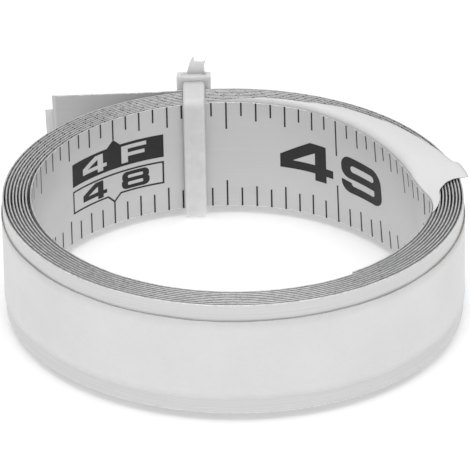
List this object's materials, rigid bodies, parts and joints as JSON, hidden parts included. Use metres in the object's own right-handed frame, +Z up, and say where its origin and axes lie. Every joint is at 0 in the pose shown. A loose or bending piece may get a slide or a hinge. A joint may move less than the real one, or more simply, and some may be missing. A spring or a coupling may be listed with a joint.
{
  "type": "adhesive bench tape coil",
  "caption": "Half-inch self-adhesive steel measuring tape, coiled on edge with its liner on and held by a cable tie through the coil.",
  "frame": {"origin": "where the coil's axis meets the surface that the coil stands on", "axes": "+Z up along the coil's axis, +Y towards the side with the cable tie, +X so that the free end of the blade points to -X"},
  "size_m": [0.0495, 0.0504, 0.0158],
  "materials": {
    "blade_steel": "satin",
    "adhesive": "tacky translucent film",
    "release_liner": "smooth glassine",
    "tie_nylon": "natural nylon"
  },
  "bodies": {
    "coil": {"blade_coil": "blade_steel", "adhesive_coil": "adhesive", "liner_coil": "release_liner", "liner_peel_root": "release_liner", "tie_strap": "tie_nylon", "tie_head": "tie_nylon", "tie_cut_tail": "tie_nylon"},
    "lead_in": {"blade_lead_in": "blade_steel", "adhesive_lead_in": "adhesive"},
    "liner_tail": {"liner_outer_tail": "release_liner"},
    "peel_tab": {"liner_peel_tab": "release_liner"},
    "pawl": {"tie_pawl": "tie_nylon"}
  },
  "joints": [
    {"name": "lead_in_flex", "type": "hinge", "parent": "coil", "child": "lead_in", "pos_m": [-0.00705, 0.02295, 0.0072], "axis": [0, 0, -1], "range_deg": [0, 25], "stiffness_Nm_per_rad": 0.1},
    {"name": "liner_tail_peel", "type": "hinge", "parent": "lead_in", "child": "liner_tail", "pos_m": [-0.00705, 0.02295, 0.0072], "axis": [0, 0, -1], "range_deg": [0, 60], "stiffness_Nm_per_rad": 0.0005},
    {"name": "peel_tab_lift", "type": "hinge", "parent": "coil", "child": "peel_tab", "pos_m": [0.01687, 0.00716, 0.01357], "axis": [0.4338, -0.901, 0], "range_deg": [0, 50], "stiffness_Nm_per_rad": 0.0005},
    {"name": "pawl_flex", "type": "hinge", "parent": "coil", "child": "pawl", "pos_m": [-0.00388, 0.0244, 0.01198], "axis": [1, 0, 0], "range_deg": [0, 8], "stiffness_Nm_per_rad": 0.001}
  ]
}
